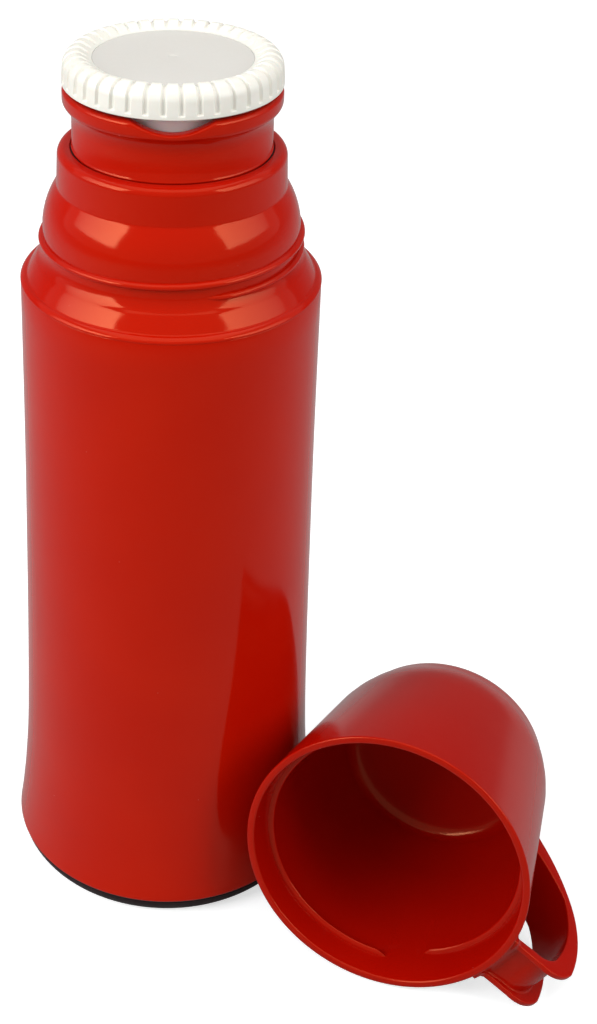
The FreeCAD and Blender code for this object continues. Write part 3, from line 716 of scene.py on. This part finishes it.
def along(start, end, radius, t):
    """The point at share t of a line or of an arc that turns left."""
    start, end = Vector(start), Vector(end)
    if radius is None:
        return start.lerp(end, t)
    chord = end - start
    side = Vector((-chord.y, chord.x)).normalized()
    centre = (start + end) / 2 + side * math.sqrt(radius * radius - chord.length_squared / 4)
    angle = 2 * math.asin(chord.length / (2 * radius)) * t
    return centre + rotated(start - centre, angle)


def bowl_radius(distance):
    """Outer radius of the bowl near the handle's two roots."""
    cone = CUP_RADIUS - CUP_DRAFT * distance
    return cone - 0.0075 * max(distance - CONE_LENGTH, 0.0) ** 2


def handle_section(finger, outer, run):
    """One U-shaped section across the strap, in the cup's frame."""
    across = outer - finger
    height = across.length
    middle = (finger + outer) / 2
    clear = middle.x - bowl_radius(middle.y)
    fillet = 1.8
    flare = 0.0
    if clear < fillet:
        flare = fillet - math.sqrt(max(fillet ** 2 - (fillet - max(clear, 0.0)) ** 2, 0.0))
    direction = across.normalized()
    opened, closing = smooth(clear / 4.0 + 0.25), smooth((3.05 - run) / 0.55)
    depth = max(max(height - WEB, 0.0) * opened * closing, 0.06)
    half = HANDLE_HALF + flare
    low, high = -flare, height + flare
    floor = high - depth - flare
    inner = HANDLE_HALF - FLANGE
    edge = min(0.75, height * 0.3)
    lip = min(0.6, depth * 0.4, FLANGE * 0.45)
    bend = min(0.9, depth * 0.45)
    section = outline([
        (-half, low, None, edge),
        (half, low, None, edge),
        (half, high, None, max(lip, 0.5)),
        (inner, high, None, lip),
        (inner, floor, None, bend),
        (-inner, floor, None, bend),
        (-inner, high, None, lip),
        (-half, high, None, max(lip, 0.5)),
    ])
    return [(finger.x + direction.x * depth_at, sideways, finger.y + direction.y * depth_at)
            for sideways, depth_at in section]


def make_cup():
    """Cup with its inner screw ridge and its strap handle, moulded in one and lying on its side."""
    bowl = lathe("drinking_cup", bowl_section(), 288)
    handle = swept("cup_handle", [handle_section(*station) for station in handle_runs()])
    ridge = screw_ridge("cup_ridge", root=46.9, crest=44.2, start=8.9, foot=1.9,
                        pitch=CUP_PITCH, turns=0.97, begin=math.radians(52), taper=0.02)
    cup = united(bowl, handle, ridge)
    cup.data.transform(cup_placement())
    return cup


place(make_shell(), "outer_shell", "flask", "red_body")
place(make_shoulder(), "shoulder", "flask", "red_body")
place(make_collar(), "pour_collar", "flask", "red_body")
place(make_seal(), "collar_seal", "flask", "black_rubber")
place(make_knob(), "knob", "stopper", "white_knob")
place(make_disc(), "knob_disc", "stopper", "grey_disc")
place(make_plug(), "stopper_plug", "stopper", "milky_plug")
place(make_cup(), "cup", "cup", "red_cup")


# ---------------------------------------------------------------- stage, light and camera

def make_floor(name, shade, glow, seen):
    """A wide pale floor that bends up into a backdrop far behind the flask.

    The floor that is seen only shows itself. The other one is unseen and bounces less light.
    """
    half_width = 10.0
    front, back = -10.0, 4.0
    bend, height = 1.5, 4.0
    steps = 16
    profile = [(front, 0.0), (back - bend, 0.0)]
    for step in range(1, steps + 1):
        angle = math.pi / 2 * step / steps
        profile.append((back - bend + bend * math.sin(angle), bend - bend * math.cos(angle)))
    profile.append((back, height))
    mesh = bpy.data.meshes.new(name)
    points = [(side * half_width, y, z) for y, z in profile for side in (-1, 1)]
    faces = [[2 * row, 2 * row + 1, 2 * row + 3, 2 * row + 2] for row in range(len(profile) - 1)]
    mesh.from_pydata(points, [], faces)
    mesh.shade_smooth()
    floor = bpy.data.objects.new(name, mesh)
    bpy.context.scene.collection.objects.link(floor)
    floor.visible_camera = seen
    floor.visible_diffuse = not seen
    floor.visible_glossy = not seen
    floor.visible_shadow = False
    material, tree, shader, where = new_material(name)
    clouds = ranged(tree, noise(tree, where, 2, 2), 0.3, 0.7, 0, 1)
    tint = blended(tree, clouds, (shade,) * 3, (shade * 0.97,) * 3)
    tree.links.new(tint, shader.inputs["Base Color"])
    shader.inputs["Emission Color"].default_value = (1, 1, 1, 1)
    shader.inputs["Emission Strength"].default_value = glow
    shader.inputs["Roughness"].default_value = 0.9
    shader.inputs["Specular IOR Level"].default_value = 0.1
    mesh.materials.append(material)


FAINT, BRIGHT = 0.15, 1.7


def fade_across(light, faint_side):
    """Makes a light's face fade towards one side, as a softbox lit from its other side does."""
    light.use_nodes = True
    tree = light.node_tree
    emission = tree.nodes["Emission"]
    across = node(tree, "ShaderNodeSeparateXYZ")
    tree.links.new(node(tree, "ShaderNodeNewGeometry").outputs["Parametric"], across.inputs[0])
    ends = (FAINT, BRIGHT) if faint_side == "low" else (BRIGHT, FAINT)
    tree.links.new(ranged(tree, across.outputs["X"], 0, 1, *ends), emission.inputs["Strength"])


def add_softbox(name, aim, azimuth, elevation, distance, width, height, watts, faint_side=None):
    """A soft rectangular light. Azimuth is measured from the camera's side, to the right."""
    light = bpy.data.lights.new(name, "AREA")
    light.shape = "RECTANGLE"
    light.size = width
    light.size_y = height
    light.energy = watts
    lamp = bpy.data.objects.new(name, light)
    turn, rise = math.radians(azimuth), math.radians(elevation)
    away = Vector((math.sin(turn) * math.cos(rise), -math.cos(turn) * math.cos(rise), math.sin(rise)))
    lamp.location = Vector(aim) + away * distance
    lamp.rotation_euler = away.to_track_quat("Z", "Y").to_euler()
    bpy.context.scene.collection.objects.link(lamp)
    if faint_side:
        fade_across(light, faint_side)


def add_world(strength):
    """Even white surroundings."""
    world = bpy.data.worlds.new("surroundings")
    world.use_nodes = True
    background = world.node_tree.nodes["Background"]
    background.inputs["Color"].default_value = (1, 1, 1, 1)
    background.inputs["Strength"].default_value = strength
    bpy.context.scene.world = world


CAMERA_PLACE = (0, -0.5183, 0.4873)
CAMERA_HEADING = math.radians(-0.23)
CAMERA_DIP = math.radians(33.61)
CAMERA_ROLL = math.radians(0.43)
CAMERA_LENS = 61.55
CAMERA_SHIFT = (0.13245, 0.00224)


def add_camera():
    """The camera at the photo's viewing angle: above the flask and looking down on it."""
    heading, dip, roll = CAMERA_HEADING, CAMERA_DIP, CAMERA_ROLL
    forward = Vector((math.sin(heading) * math.cos(dip), math.cos(heading) * math.cos(dip),
                      -math.sin(dip)))
    right = forward.cross(Vector((0, 0, 1))).normalized()
    up = right.cross(forward)
    rolled_right = right * math.cos(roll) + up * math.sin(roll)
    rolled_up = up * math.cos(roll) - right * math.sin(roll)
    data = bpy.data.cameras.new("camera")
    data.lens = CAMERA_LENS
    data.shift_x, data.shift_y = CAMERA_SHIFT
    camera = bpy.data.objects.new("camera", data)
    axes = Matrix((rolled_right, rolled_up, -forward)).transposed()
    camera.matrix_world = Matrix.Translation(CAMERA_PLACE) @ axes.to_4x4()
    bpy.context.scene.collection.objects.link(camera)
    bpy.context.scene.camera = camera


AIM = (0, 0, 0.25)
make_floor("pale_floor", shade=0.93, glow=0.5, seen=True)
make_floor("bounce_floor", shade=0.36, glow=0.0, seen=False)
add_world(0.5)
add_softbox("left_softbox", AIM, azimuth=-73, elevation=26, distance=1.3, width=1.15, height=0.75,
            watts=16.5, faint_side="low")
add_softbox("right_softbox", AIM, azimuth=73, elevation=26, distance=1.3, width=1.15, height=0.75,
            watts=9.5, faint_side="high")
add_softbox("top_softbox", AIM, azimuth=0, elevation=85, distance=4.0, width=5.0, height=5.0, watts=96)
add_camera()
bpy.context.scene.view_settings.view_transform = "Standard"
